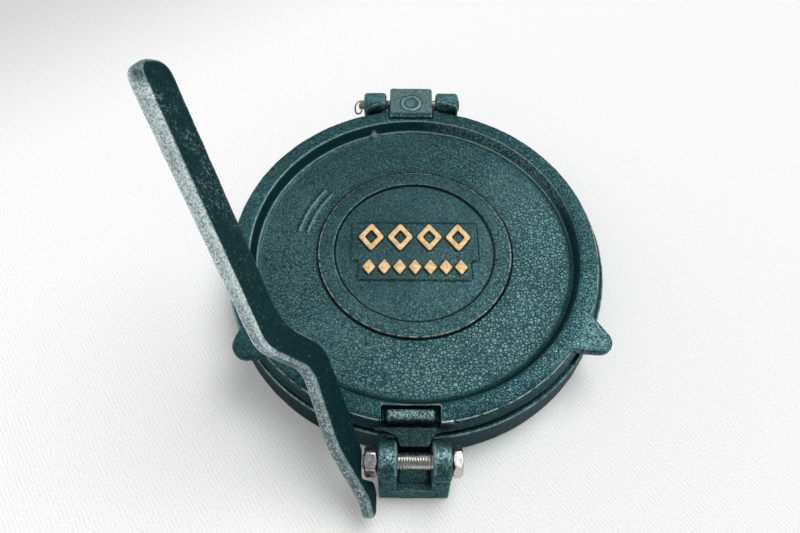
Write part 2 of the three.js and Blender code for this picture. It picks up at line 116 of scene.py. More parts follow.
LENS = 26.35
SENSOR = 36
CAMERA_AT = Vector((-11.44, -176.27, 307.91)) * MM
CAMERA_DOWN = 59.79
CAMERA_ROLL = -1.334
CAMERA_YAW = 1.04


# Mesh helpers

def in_scene(name, data):
    made = bpy.data.objects.new(name, data)
    bpy.context.scene.collection.objects.link(made)
    return made


def smooth_shaded(mesh):
    mesh.polygons.foreach_set("use_smooth", [True] * len(mesh.polygons))
    return mesh


def new_object(name, points, faces):
    mesh = bpy.data.meshes.new(name)
    mesh.from_pydata([tuple(p) for p in points], [], faces)
    mesh.validate()
    return in_scene(name, smooth_shaded(mesh))


def evaluated(obj):
    """A new mesh from the object as it shows, with its modifiers or curve settings applied."""
    bpy.context.view_layer.update()
    return bpy.data.meshes.new_from_object(obj.evaluated_get(bpy.context.evaluated_depsgraph_get()))


def coordinates(mesh, kind="co"):
    values = np.zeros(len(mesh.vertices) * 3)
    if kind == "co":
        mesh.vertices.foreach_get("co", values)
    else:
        mesh.vertex_normals.foreach_get("vector", values)
    return values.reshape(-1, 3)


def put_coordinates(mesh, points):
    mesh.vertices.foreach_set("co", points.ravel())
    mesh.update()


def edge_pairs(mesh):
    pairs = np.zeros(len(mesh.edges) * 2, int)
    mesh.edges.foreach_get("vertices", pairs)
    return pairs.reshape(-1, 2)


def neighbour_mean(values, pairs):
    total = np.zeros_like(values)
    count = np.zeros(len(values))
    np.add.at(total, pairs[:, 0], values[pairs[:, 1]])
    np.add.at(total, pairs[:, 1], values[pairs[:, 0]])
    np.add.at(count, pairs[:, 0], 1)
    np.add.at(count, pairs[:, 1], 1)
    count = np.maximum(count, 1)
    return total / (count[:, None] if values.ndim == 2 else count)


def smoothed(values, pairs, times):
    for _ in range(times):
        values = 0.5 * values + 0.5 * neighbour_mean(values, pairs)
    return values


def store(mesh, name, values):
    layer = mesh.attributes.new(name, "FLOAT", "POINT")
    layer.data.foreach_set("value", np.ascontiguousarray(values, dtype=np.float32))


# Castings

def rounder(points, middle):
    """Undoes the flat sides of the turned plates, so that their rims are true circles."""
    step = 2 * math.pi / LATHE_SIDES
    x, y = points[:, 0] - middle[0], points[:, 1] - middle[1]
    off = np.mod(np.arctan2(y, x), step) - step / 2
    share = np.cos(off) / math.cos(step / 2)
    points[:, 0] = middle[0] + x * share
    points[:, 1] = middle[1] + y * share
    return points


def waves(points, length, seed):
    """A smooth uneven height, about -1 to 1, that repeats nowhere on the part."""
    rng = np.random.default_rng(seed)
    total = np.zeros(len(points))
    for _ in range(WAVE_COUNT):
        way = rng.normal(size=3)
        way /= np.linalg.norm(way)
        stretch = length * rng.uniform(0.7, 1.8)
        total += np.sin(points @ way * (2 * math.pi / stretch) + rng.uniform(0, 2 * math.pi))
    return total / math.sqrt(WAVE_COUNT)


def casting(node, name, grid, soften, middle=None):
    """A node's solid on a fine even grid, with softened edges and an uneven skin above its flat foot."""
    obj = in_scene(name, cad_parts[node].data.copy())
    obj.data.materials.clear()
    remesh = obj.modifiers.new("remesh", "REMESH")
    remesh.mode = "VOXEL"
    remesh.voxel_size = grid
    rough, mesh = obj.data, evaluated(obj)
    obj.modifiers.clear()
    obj.data = mesh
    bpy.data.meshes.remove(rough)
    pairs = edge_pairs(mesh)
    points = smoothed(coordinates(mesh), pairs, soften)
    if middle:
        points = rounder(points, middle)
    put_coordinates(mesh, points)
    normals = coordinates(mesh, "normal")
    lumps = sum(height * waves(points, length, seed) for height, length, seed in UNEVEN)
    above_foot = np.clip(points[:, 2] / FLAT_FOOT, 0, 1)
    put_coordinates(mesh, points + normals * (lumps * above_foot)[:, None])
    curve = ((points - neighbour_mean(points, pairs)) * normals).sum(1) / grid
    store(mesh, "edge", smoothed(curve, pairs, 2))
    smooth_shaded(mesh)
    return obj


def lump(obj, x, y, radius, height):
    """A small casting flaw that stands up from a surface seen from above."""
    mesh = obj.data
    points = coordinates(mesh)
    normals = coordinates(mesh, "normal")
    apart = np.hypot(points[:, 0] - x, points[:, 1] - y)
    seen_from_above = (normals[:, 2] > SKIN_LEVEL) * (points[:, 2] > SKIN_ABOVE)
    points[:, 2] += height * np.exp(-((apart / radius) ** 2)) * seen_from_above
    put_coordinates(mesh, points)


def mark_strip(obj):
    """How far each point of the lever faces along its narrow upper side, and not across the bar; the
    lever's painted highlight follows it.
    """
    normals = coordinates(obj.data, "normal")
    lean = math.radians(LEVER_LEAN)
    across = normals[:, 0] * math.cos(lean) + normals[:, 2] * math.sin(lean)
    upward = -normals[:, 0] * math.sin(lean) + normals[:, 2] * math.cos(lean)
    narrow = np.sqrt(np.maximum(0, 1 - across ** 2))
    along_side = np.clip((narrow - NARROW_FROM) / NARROW_FADE, 0, 1)
    share = along_side * np.clip((upward - UPWARD_FROM) / UPWARD_FADE, 0, 1)
    store(obj.data, "strip", smoothed(share, edge_pairs(obj.data), 2))


def bare_faces(obj, level, facing):
    """Gives the machined pressing face its own material slot."""
    mesh = obj.data
    count = len(mesh.polygons)
    centres = np.zeros(count * 3)
    normals = np.zeros(count * 3)
    mesh.polygons.foreach_get("center", centres)
    mesh.polygons.foreach_get("normal", normals)
    centres = centres.reshape(-1, 3)
    normals = normals.reshape(-1, 3)
    inside = np.hypot(centres[:, 0], centres[:, 1]) < FACE_RADIUS
    flat = normals[:, 2] * facing > FACE_LEVEL
    near = np.abs(centres[:, 2] - level) < FACE_NEAR
    mesh.polygons.foreach_set("material_index", (inside & flat & near).astype(np.int32))


# Turned and threaded steel, along X

def around_x(name, rings, sides, y, z):
    """A closed solid from rings [x, radius as a function of angle]."""
    points = []
    for x, radius in rings:
        for i in range(sides):
            angle = 2 * math.pi * i / sides
            r = radius(angle)
            points.append((x, y + r * math.cos(angle), z + r * math.sin(angle)))
    faces = []
    for j in range(len(rings) - 1):
        for i in range(sides):
            k = (i + 1) % sides
            a, b = j * sides, (j + 1) * sides
            faces.append((a + i, a + k, b + k, b + i))
    faces.append(tuple(reversed(range(sides))))
    last = (len(rings) - 1) * sides
    faces.append(tuple(range(last, last + sides)))
    return new_object(name, points, faces)


def round_ring(radius):
    return lambda angle: radius


def hex_ring(flats, limit, turn):
    """A hexagon whose corners a round cone cuts at the radius limit."""
    def radius(angle):
        off = (angle - turn) % (math.pi / 3) - math.pi / 6
        return min(flats / 2 / math.cos(off), limit)
    return radius


def sharp(obj, angle=35):
    smooth_shaded(obj.data).set_sharp_from_angle(angle=math.radians(angle))
    return obj


BOLT_RADIUS = 4 * MM
THREAD_DEPTH = 0.55 * MM
THREAD_PITCH = 1.25 * MM
THREAD_START = 0.9 * MM
START_DEPTH = 0.8 * MM
RINGS_PER_TURN = 9
HEX_FLATS = 12.8 * MM
HEX_CORNER = HEX_FLATS / math.sqrt(3)
HEX_LOW = HEX_FLATS / 2 * 0.96
HEX_FACE = HEX_FLATS / 2 * 0.8
HEX_CHAMFER = 1 * MM
CHAMFER_STEPS = 5
HEX_SIDES = 72
ROUND_SIDES = 40
HEAD_FROM = 16.3 * MM
HEAD_THICK = 4.8 * MM
NUT_FROM = -24.9 * MM
NUT_THICK = 6 * MM
BOLT_END = -25.8 * MM
NUT_TURN = 12
HEAD_TURN = 5


def hex_rings(start, thick, turn):
    """Rings of a nut or bolt head with both its ends rounded off to its flats."""
    slope = []
    for i in range(CHAMFER_STEPS + 1):
        share = i / CHAMFER_STEPS
        limit = HEX_LOW + (HEX_CORNER - HEX_LOW) * share
        slope.append((HEX_CHAMFER * share, hex_ring(HEX_FLATS, limit, math.radians(turn))))
    near = [(start + deep, radius) for deep, radius in slope]
    far = [(start + thick - deep, radius) for deep, radius in reversed(slope)]
    flat = round_ring(HEX_FACE)
    return [(start, flat), *near, *far, (start + thick, flat)]


def bolt_shank():
    """The thread, as rings whose radius follows the helix."""
    length = HEAD_FROM + 0.5 * MM - BOLT_END
    count = int(length / THREAD_PITCH * RINGS_PER_TURN)
    rings = [(BOLT_END, round_ring(BOLT_RADIUS - 1.1 * MM))]
    for j in range(count + 1):
        x = BOLT_END + length * j / count
        ease = min(1, (x - BOLT_END) / THREAD_START)

        def radius(angle, x=x, ease=ease):
            phase = (x / THREAD_PITCH + angle / (2 * math.pi)) % 1
            height = abs(2 * phase - 1)
            return BOLT_RADIUS - THREAD_DEPTH * (1 - height) - (1 - ease) * START_DEPTH

        rings.append((x, radius))
    return around_x("bolt_thread", rings, ROUND_SIDES, BOLT_Y, BOLT_Z)


def join(name, *objects):
    """One object from several, in place."""
    points, faces = [], []
    for o in objects:
        start = len(points)
        points += [v.co.copy() for v in o.data.vertices]
        faces += [tuple(start + i for i in p.vertices) for p in o.data.polygons]
        bpy.data.objects.remove(o)
    return new_object(name, points, faces)


def make_bolt():
    rings = hex_rings(HEAD_FROM, HEAD_THICK, HEAD_TURN)
    head = around_x("bolt_head", rings, HEX_SIDES, BOLT_Y, BOLT_Z)
    return sharp(join("fork_bolt_threaded", head, bolt_shank()))


def make_nut():
    rings = hex_rings(NUT_FROM, NUT_THICK, NUT_TURN)
    return sharp(around_x("fork_nut_zinc", rings, HEX_SIDES, BOLT_Y, BOLT_Z))


PIN_RADIUS = 3 * MM
PIN_CHAMFER = 0.6 * MM
PIN_HEAD_THICK = 0.8 * MM
PIN_LEFT = -35.6 * MM
PIN_RIGHT = 29.9 * MM
HEAD_RADIUS = 3.7 * MM


def make_hinge_pin():
    """A pin with a chamfered tail and a head that a hammer has spread."""
    seat = PIN_RIGHT - PIN_HEAD_THICK
    profile = [
        (PIN_LEFT, PIN_RADIUS - PIN_CHAMFER),
        (PIN_LEFT + PIN_CHAMFER, PIN_RADIUS),
        (seat, PIN_RADIUS),
        (seat + 0.05 * MM, HEAD_RADIUS * 0.95),
        (seat + 0.35 * MM, HEAD_RADIUS),
        (PIN_RIGHT - 0.1 * MM, HEAD_RADIUS * 0.85),
        (PIN_RIGHT, HEAD_RADIUS * 0.55),
    ]
    rings = [(x, round_ring(r)) for x, r in profile]
    return sharp(around_x("hinge_pin_steel", rings, ROUND_SIDES, HINGE_Y, HINGE_Z), 50)


SPLIT_X = -33.8 * MM
SPLIT_WIRE = 0.6 * MM
SPLIT_RING = 2.9 * MM
SPLIT_LEG = 4 * MM
SPLIT_TURN = -48


def make_split_pin():
    """The bent wire, as a tube along its legs and open ring."""
    loop = SPLIT_LEG + SPLIT_RING
    high = SPLIT_LEG + SPLIT_RING / 2
    out = -2 * SPLIT_RING
    corners = [
        (0, SPLIT_LEG), (0, 0), (0, -SPLIT_LEG),
        (out * 0.22, -loop * 0.93), (out * 0.6, -loop * 0.9), (out * 0.93, -loop * 0.55),
        (out, 0), (out * 0.93, high * 0.55), (out * 0.6, high * 0.93), (out * 0.3, high * 0.9),
    ]
    curve = bpy.data.curves.new("split_pin_wire", "CURVE")
    curve.dimensions = "3D"
    curve.bevel_depth = SPLIT_WIRE
    curve.bevel_resolution = 4
    curve.use_fill_caps = True
    curve.resolution_u = 8
    spline = curve.splines.new("NURBS")
    spline.points.add(len(corners) - 1)
    turn = math.radians(SPLIT_TURN)
    for point, (along, up) in zip(spline.points, corners):
        x = SPLIT_X - along * math.sin(turn)
        y = HINGE_Y + along * math.cos(turn)
        point.co = (x, y, HINGE_Z + up, 1)
    spline.order_u = 4
    spline.use_endpoint_u = True
    shown = in_scene("split_pin_curve", curve)
    mesh = evaluated(shown)
    bpy.data.objects.remove(shown)
    return in_scene("split_pin_wire", smooth_shaded(mesh))


# Painted motif: lozenges over beads, each with rounded edges, as width, height and stroke

LOZENGE = (14.6 * MM, 18.6 * MM, 3.3 * MM)
LOZENGE_PITCH = 16.6 * MM
LOZENGE_ROW = 7.4 * MM
LOZENGE_COUNT = 4
BEAD = (7 * MM, 9.4 * MM, 0)
BEAD_PITCH = 8.6 * MM
BEAD_ROW = -12.4 * MM
BEAD_COUNT = 7
MOTIF_TOP = 26.45 * MM
MOTIF_SPREAD = 0.25 * MM
MOTIF_ROUND = 0.35 * MM
CORNER_CUT = 0.13
CORNER_INWARD = 0.03


def diamond_loop(x, y, width, height, z):
    """A diamond's outline with softened corners."""
    corners = [(width / 2, 0), (0, height / 2), (-width / 2, 0), (0, -height / 2)]
    far, close = CORNER_CUT, CORNER_CUT / 3
    points = []
    for i, (cx, cy) in enumerate(corners):
        before, after = corners[i - 1], corners[(i + 1) % 4]
        for share, (qx, qy) in ((far, before), (close, before), (close, after), (far, after)):
            inward = CORNER_INWARD if share == close else 0
            points.append((
                x + (cx + (qx - cx) * share) * (1 - inward),
                y + (cy + (qy - cy) * share) * (1 - inward),
                z,
            ))
    return points


def raised_diamond(x, y, width, height, stroke):
    """Rings from the plaque up over a rounded shoulder, and a hollow middle where stroke is given."""
    grow = 2 * MOTIF_SPREAD
    low = PLAQUE_TOP - 0.3 * MM
    ratio = height / width
    levels = [
        (grow + 0.5 * MM, low),
        (grow, PLAQUE_TOP + 0.25 * MM),
        (grow - 0.05 * MM, MOTIF_TOP - MOTIF_ROUND),
        (grow - 0.35 * MM, MOTIF_TOP - 0.08 * MM),
        (grow - 0.8 * MM, MOTIF_TOP),
    ]
    loops = [diamond_loop(x, y, width + g, height + g * ratio, z) for g, z in levels]
    if stroke:
        inner = width - 2 * stroke
        for g, z in reversed(levels):
            loops.append(diamond_loop(x, y, inner - g, (inner - g) * ratio, z))
    count = len(loops[0])
    points = [p for loop in loops for p in loop]
    faces = []
    for j in range(len(loops) - 1):
        for i in range(count):
            k = (i + 1) % count
            faces.append((j * count + i, j * count + k, (j + 1) * count + k, (j + 1) * count + i))
    last = (len(loops) - 1) * count
    if stroke:
        faces += [(last + i, last + (i + 1) % count, (i + 1) % count, i) for i in range(count)]
    else:
        faces.append(tuple(range(last, last + count)))
        faces.append(tuple(reversed(range(count))))
    return points, faces


def make_motif():
    rows = ((LOZENGE_COUNT, LOZENGE_PITCH, LOZENGE_ROW, LOZENGE), (BEAD_COUNT, BEAD_PITCH, BEAD_ROW, BEAD))
    points, faces = [], []
    for count, pitch, y, sizes in rows:
        for i in range(count):
            start = len(points)
            made = raised_diamond((i - (count - 1) / 2) * pitch, y, *sizes)
            points.extend(made[0])
            faces.extend(tuple(start + k for k in f) for f in made[1])
    return sharp(new_object("plaque_motif", points, faces), 50)


# Where a mix node has its two inputs and its result

MIX_COLORS = (6, 7, 2)
MIX_NUMBERS = (2, 3, 0)


# Node helpers


class Shader:
    """A material's nodes, with short calls for the ones used here."""

    def __init__(self, name):
        self.material = bpy.data.materials.new(name)
        self.material.use_nodes = True
        self.nodes = self.material.node_tree.nodes
        self.links = self.material.node_tree.links
        self.nodes.clear()
        self.out = self.nodes.new("ShaderNodeOutputMaterial")
        self.bsdf = self.nodes.new("ShaderNodeBsdfPrincipled")
        self.links.new(self.bsdf.outputs[0], self.out.inputs[0])
        self.place = self.nodes.new("ShaderNodeTexCoord").outputs["Object"]
        axes = self.nodes.new("ShaderNodeSeparateXYZ")
        self.links.new(self.place, axes.inputs[0])
        self.x, self.y, self.z = axes.outputs

    def feed(self, socket, value):
        """Links a socket to another one, or sets its value."""
        if isinstance(value, bpy.types.NodeSocket):
            self.links.new(value, socket)
        elif socket.type == "RGBA":
            socket.default_value = (*value, 1)
        else:
            socket.default_value = value

    def math(self, operation, a, b=0.0, c=0.0):
        node = self.nodes.new("ShaderNodeMath")
        node.operation = operation
        for socket, value in zip(node.inputs, (a, b, c)):
            self.feed(socket, value)
        return node.outputs[0]

    def times(self, product, *others):
        for other in others:
            product = self.math("MULTIPLY", product, other)
        return product

    def largest(self, found, *others):
        for other in others:
            found = self.math("MAXIMUM", found, other)
        return found

    def scaled(self, value, by, plus):
        return self.math("MULTIPLY_ADD", value, by, plus)

    def off(self, value, middle):
        """How far the value is from a middle one, on either side."""
        return self.math("ABSOLUTE", self.math("SUBTRACT", value, middle))

    def span(self, value, start, end, low=0.0, high=1.0, smooth=True):
        """Fades from low where the value is start to high where it is end."""
        node = self.nodes.new("ShaderNodeMapRange")
        node.interpolation_type = "SMOOTHSTEP" if smooth else "LINEAR"
        for socket, given in zip(node.inputs, (value, start, end, low, high)):
            self.feed(socket, given)
        return node.outputs[0]

    def fade(self, value, start, end, low=0.0, high=1.0):
        """The same fade, with its start and end in millimetres."""
        return self.span(value, start * MM, end * MM, low, high)

    def mixed(self, kind, places, share, a, b):
        node = self.nodes.new("ShaderNodeMix")
        node.data_type = kind
        for index, given in zip((0, *places[:2]), (share, a, b)):
            self.feed(node.inputs[index], given)
        return node, node.outputs[places[2]]

    def mix(self, share, a, b, blend="MIX"):
        """Between two colours."""
        node, color = self.mixed("RGBA", MIX_COLORS, share, a, b)
        node.blend_type = blend
        return color

    def blend(self, share, a, b):
        """Between two numbers."""
        return self.mixed("FLOAT", MIX_NUMBERS, share, a, b)[1]

    def over(self, color, paint, mask, most=1.0):
        """The color under a paint that covers it where the mask is, by the share most."""
        share = mask if most == 1.0 else self.times(mask, most)
        return self.mix(share, color, paint)

    def noise(self, size, detail=2.0, rough=0.5, output=0):
        node = self.nodes.new("ShaderNodeTexNoise")
        self.links.new(self.place, node.inputs["Vector"])
        node.inputs["Scale"].default_value = 1 / size
        node.inputs["Detail"].default_value = detail
        node.inputs["Roughness"].default_value = rough
        return node.outputs[output]

    def blotches(self, size, detail, start, end, low=0.0, high=1.0, rough=0.5):
        """Soft patches: low where the noise is under start, high where it is over end."""
        return self.span(self.noise(size, detail, rough), start, end, low, high)

    def cells(self, size, feature, place=None):
        node = self.nodes.new("ShaderNodeTexVoronoi")
        node.feature = feature
        self.links.new(place or self.place, node.inputs["Vector"])
        node.inputs["Scale"].default_value = 1 / size
        return node

    def pick(self, cells):
        """A cell's own random value."""
        node = self.nodes.new("ShaderNodeSeparateColor")
        self.links.new(cells.outputs["Color"], node.inputs[0])
        return node.outputs[0]

    def moved(self, place, by):
        node = self.nodes.new("ShaderNodeVectorMath")
        self.links.new(place, node.inputs[0])
        node.inputs[1].default_value = by
        return node.outputs[0]

    def warped(self, size, amount):
        """Coordinates pushed about by noise, so that cells are uneven."""
        push = self.nodes.new("ShaderNodeVectorMath")
        push.operation = "MULTIPLY_ADD"
        self.links.new(self.noise(size, output=1), push.inputs[0])
        push.inputs[1].default_value = (amount,) * 3
        self.links.new(self.place, push.inputs[2])
        return push.outputs[0]

    def toward(self, x, y):
        """How far each point lies along a level direction."""
        return self.math("ADD", self.times(self.x, x), self.times(self.y, y))

    def radius(self, middle=(0, 0)):
        """Distance from an upright axis."""
        x = self.math("SUBTRACT", self.x, middle[0])
        y = self.math("SUBTRACT", self.y, middle[1])
        return self.math("SQRT", self.math("ADD", self.times(x, x), self.times(y, y)))

    def attribute(self, name):
        node = self.nodes.new("ShaderNodeAttribute")
        node.attribute_name = name
        return node.outputs["Fac"]

    def bump(self, height, distance, strength=1.0):
        node = self.nodes.new("ShaderNodeBump")
        node.inputs["Strength"].default_value = strength
        node.inputs["Distance"].default_value = distance
        self.feed(node.inputs["Height"], height)
        return node.outputs[0]

    def finish(self, color, roughness, metallic, normal, specular=0.5, tint=WHITE):
        self.feed(self.bsdf.inputs["Base Color"], color)
        self.feed(self.bsdf.inputs["Specular Tint"], tint)
        self.feed(self.bsdf.inputs["Roughness"], roughness)
        self.feed(self.bsdf.inputs["Metallic"], metallic)
        self.bsdf.inputs["Specular IOR Level"].default_value = specular
        self.links.new(normal, self.bsdf.inputs["Normal"])
        return self.material


# Colours of the teal paint, and of the painted light and painted shade laid on it

VEIN = (0.003, 0.018, 0.022)
CELL = (0.058, 0.16, 0.167)
DISC_CELL = (0.083, 0.168, 0.17)
BLUE_CAST = (0.6, 0.88, 1.12)
SPARKLE = (0.24, 0.48, 0.5)
SHEEN = (0.4, 0.66, 0.68)
SKIRT_SHEEN = (0.07, 0.26, 0.28)
CORNER_SHADE = (0.001, 0.011, 0.013)
RUBBED_AND_LIT_EDGE = (0.34, 0.48, 0.47)
RUBBED_AND_LIT_IRON = (0.46, 0.68, 0.69)
EAR_GLINT = (0.25, 0.42, 0.44)
RIM_SHADE = (0.002, 0.016, 0.02)
SKIRT = (0.009, 0.06, 0.068)
SKIRT_SHADE = (0.003, 0.016, 0.019)
GAP_SHADE = (0.002, 0.011, 0.013)
TOP_HIGHLIGHT = (0.36, 0.54, 0.54)
LUG_GLINT = (0.12, 0.3, 0.32)
WEB_PAINTED_LIGHT = (0.2, 0.42, 0.42)
WALL_SHADE_NEAR = (0.006, 0.036, 0.04)
WALL_SHADE_FAR = (0.012, 0.085, 0.092)
WALL_GLINT = (0.3, 0.5, 0.52)
GUTTER_SHADE = (0.002, 0.02, 0.024)
PAD_WORN = (0.2, 0.3, 0.3)
PAD_SHADE = (0.01, 0.05, 0.056)
PAD_HIGHLIGHT = (0.36, 0.5, 0.5)
RIM_SIDE_SHADE = (0.016, 0.027, 0.026)
RIM_SHADOW = (0.002, 0.012, 0.015)
FLAW_WORN = (0.3, 0.42, 0.42)
RING_SHADE = (0.001, 0.008, 0.01)
RING_HIGHLIGHT = (0.42, 0.49, 0.46)
INNER_RING_HIGHLIGHT = (0.2, 0.26, 0.25)
RIM_HIGHLIGHT = (0.52, 0.64, 0.64)
RECESS_HIGHLIGHT = (0.36, 0.55, 0.55)
FOOT_HIGHLIGHT = (0.42, 0.6, 0.6)
MARK_SHADE = (0.001, 0.014, 0.017)
MARK_HIGHLIGHT = (0.16, 0.3, 0.3)

# Sizes of its cells, and how wide the veins between them are

FINE = (1.15 * MM, 0.17 * MM)
MIDDLE = (1.45 * MM, 0.24 * MM)
COARSE = (1.85 * MM, 0.24 * MM)
SECOND_NET = 1.6
SECOND_SHIFT = (0.013, 0.021, 0.007)


def hammer_cells(s, sizes, place, depth):
    """Uneven light cells between thin dark veins: their tone, and where the veins run."""
    size, width = sizes
    larger = size * SECOND_NET
    shifted = s.moved(place, SECOND_SHIFT)
    first = s.cells(size, "DISTANCE_TO_EDGE", place).outputs[0]
    second = s.cells(larger, "DISTANCE_TO_EDGE", shifted).outputs[0]
    near = s.math("MINIMUM", s.times(first, size), s.times(second, larger))
    ragged = s.scaled(s.noise(0.9 * MM), 0.6 * width, near)
    vein = s.span(ragged, 0.3 * width, 1.5 * width)
    dome = s.span(near, 0, 0.32 * size, 0.88, 1.04)
    one = s.pick(s.cells(size, "F1", place))
    two = s.pick(s.cells(larger, "F1", shifted))
    tone = s.scaled(s.math("ADD", one, two), 0.17, 0.75)
    return s.times(s.scaled(vein, depth, 1 - depth), dome, tone), vein


def glints(s, size, start, end):
    """Scattered flakes that shine, each one a small cell of its own brightness."""
    return s.span(s.pick(s.cells(size, "F1")), start, end)


def line_at(s, value, where, half):
    """1 on a thin line where the value is reached, 0 away from it."""
    return s.span(s.off(value, where), half, half * 0.35)


def edge_lines(s, color, bright, most, start=0.046, end=0.08):
    """Convex edges lightened in broken lines, partly rubbed paint and partly painted highlight, and inner
    corners darkened with painted shade.
    """
    edge = s.attribute("edge")
    broken = s.blotches(2.2 * MM, 4, 0.34, 0.56, 0.25, 1, rough=0.6)
    color = s.over(color, bright, s.times(s.span(edge, start, end), broken, most))
    return s.over(color, CORNER_SHADE, s.span(edge, -0.08, -0.02, 0.8, 0))


def hammertone(name, disc):
    """Teal hammer-finish paint: coarse cells on the lid's disc, fine cells elsewhere, and painted glints
    of flakes all over.
    """
    s = Shader(name)
    place = s.warped(2 * MM, 0.7 * MM)
    tone, vein = hammer_cells(s, FINE, place, 0.95)
    light, sparkle, sheen = CELL, 0.36, SHEEN
    if disc:
        rim, ring = rim_and_ring(s)
        tone, vein = disc_cells(s, place, tone, vein, s.largest(rim, ring))
        light = s.mix(rim, DISC_CELL, CELL)
        # Fewer painted glints on the left of the rim, as painted shade where the lever shadows it
        left_rim = s.fade(s.x, 0, -80, 0.3, 0.14)
        sparkle = s.scaled(rim, left_rim, s.scaled(ring, 0.1, 0.05))
    grain = s.noise(0.45 * MM, 2, 0.6)
    patch = s.blotches(22 * MM, 3, 0.33, 0.67, 0.84, 1.14)
    color = s.mix(s.times(tone, patch, s.span(grain, 0.3, 0.7, 0.64, 1.32)), VEIN, light)
    color = s.mix(s.blotches(17 * MM, 2, 0.42, 0.62, 0, 0.2), color, BLUE_CAST, "MULTIPLY")
    # Painted glints: scattered flake cells coloured light, and the same cells made less rough
    shine = glints(s, 0.68 * MM, 0.72, 1.0)
    color = s.over(color, SPARKLE, s.times(shine, sparkle))
    if disc:
        color = lid_lines(s, rim_tones(s, color, rim))
    else:
        color, skirt = base_lines(s, color)
        sheen = s.mix(skirt, SHEEN, SKIRT_SHEEN)
    # Edge lines of painted highlight and rubbed paint, weaker at the front and at the hinge
    most = s.times(s.fade(s.y, -96, -86, 0.35, 0.8), s.fade(s.y, 101, 96, 0.3, 1))
    color = worn_and_lit_front(s, edge_lines(s, color, RUBBED_AND_LIT_EDGE, most))
    height = s.math("ADD", s.times(vein, 0.8), s.times(grain, 0.6))
    height = s.scaled(s.noise(5 * MM), 2, height)
    rough = s.scaled(shine, -0.12, 0.4)
    return s.finish(color, rough, 0.55, s.bump(height, 0.13 * MM, 0.8), 0.18, sheen)


def rim_and_ring(s):
    """Where the lid's rim lies, and the plate inside its ring."""
    r = s.radius()
    rim = s.span(r, DISC_RADIUS - 4 * MM, DISC_RADIUS + 0.5 * MM)
    ring = s.span(r, RING_INNER, RING_OUTER + 3 * MM, 0.4, 0)
    return rim, ring


def disc_cells(s, place, fine, fine_vein, fine_zone):
    """On the disc the cells grow toward the near right; the tone is painted lighter toward the near right
    and on the left as painted light, and darker in and just round the ring as painted shade.
    """
    coarse, coarse_vein = hammer_cells(s, COARSE, place, 0.95)
    middle, middle_vein = hammer_cells(s, MIDDLE, place, 0.96)
    spread = s.scaled(s.noise(26 * MM), 44 * MM, s.toward(0.7, -0.7))
    grow = s.fade(spread, 2, 56)
    fine_zone = s.largest(fine_zone, s.fade(spread, -60, -10, 0.3, 0))
    tone = s.blend(fine_zone, s.blend(grow, middle, coarse), fine)
    vein = s.blend(fine_zone, s.blend(grow, middle_vein, coarse_vein), fine_vein)
    # Painted light and shade on the disc's tone
    ring_shade = s.span(s.radius(), RING_OUTER, RING_OUTER + 9 * MM, 0.74, 1)
    left = s.times(s.fade(s.x, -30, -66), s.fade(s.y, 66, 30))
    tone = s.times(tone, s.fade(spread, -40, 60, 0.73, 1.1), ring_shade, s.scaled(left, 0.6, 1))
    return tone, vein


def rim_tones(s, color, rim):
    """Painted glints on the right ear, and painted shade on three stretches of the rim."""
    ear = s.times(s.fade(s.x, 60, 80), s.fade(s.radius(), 96, 103))
    color = s.over(color, EAR_GLINT, s.times(ear, glints(s, 0.8 * MM, 0.2, 1.0)), 0.5)
    across = s.math("ADD", s.x, s.y)
    # The stretches given painted shade: lower left, upper right and front
    dull = s.largest(s.fade(across, -60, -120), s.fade(across, 60, 110), s.fade(s.y, -78, -96))
    return s.over(color, RIM_SHADE, s.times(rim, dull), 0.35)


def base_lines(s, color):
    """The base's skirt is darkened with painted shade, most on the left, under a broken painted highlight
    along its top edge, with painted shade again beside the lid, painted glints on the hinge lugs and
    painted light on the fork's web.
    """
    r = s.radius(BASE_MIDDLE)
    plate = s.times(s.fade(r, 99, 101), s.fade(r, 112, 109))
    skirt = s.times(s.span(s.z, BASE_TOP - 1 * MM, BASE_TOP - 2.6 * MM), plate)
    # Painted shade on the skirt, which faces away from the light, and more of it on the left
    color = s.over(color, SKIRT, skirt, 0.78)
    color = s.over(color, SKIRT_SHADE, s.times(skirt, s.fade(s.x, -15, -55)), 0.75)
    top = s.span(s.z, BASE_TOP - 1.3 * MM, BASE_TOP - 0.7 * MM)
    # Painted shade on the base's top beside the lid, where the gap lies in shadow
    shade_beside = s.times(s.span(r, BASE_RADIUS - 1 * MM, BASE_RADIUS - 1.6 * MM), top, plate)
    color = s.over(color, GAP_SHADE, shade_beside, 0.85)
    # A broken painted highlight along the base's top edge
    broken = s.blotches(3.5 * MM, 4, 0.4, 0.56, 0.12, 1, rough=0.6)
    line = s.times(line_at(s, r, BASE_RADIUS - 0.4 * MM, 0.5 * MM), top, broken)
    color = s.over(color, TOP_HIGHLIGHT, line, 0.85)
    # Painted glints on the hinge lugs
    hinge_lugs = s.times(s.fade(s.y, 100, 103), glints(s, 0.9 * MM, 0, 1))
    color = s.over(color, LUG_GLINT, hinge_lugs, 0.5)
    # Painted light in blotches on the fork's web, which lies in shade between the eyes
    between_lugs = s.fade(s.off(s.x, FORK_X), 10, 9)
    web = s.times(between_lugs, s.fade(s.y, -108, -110), s.fade(s.y, -125, -124))
    web = s.times(web, s.blotches(1.2 * MM, 3, 0.36, 0.58, 0.15, 0.95, rough=0.6))
    return s.over(color, WEB_PAINTED_LIGHT, web), skirt


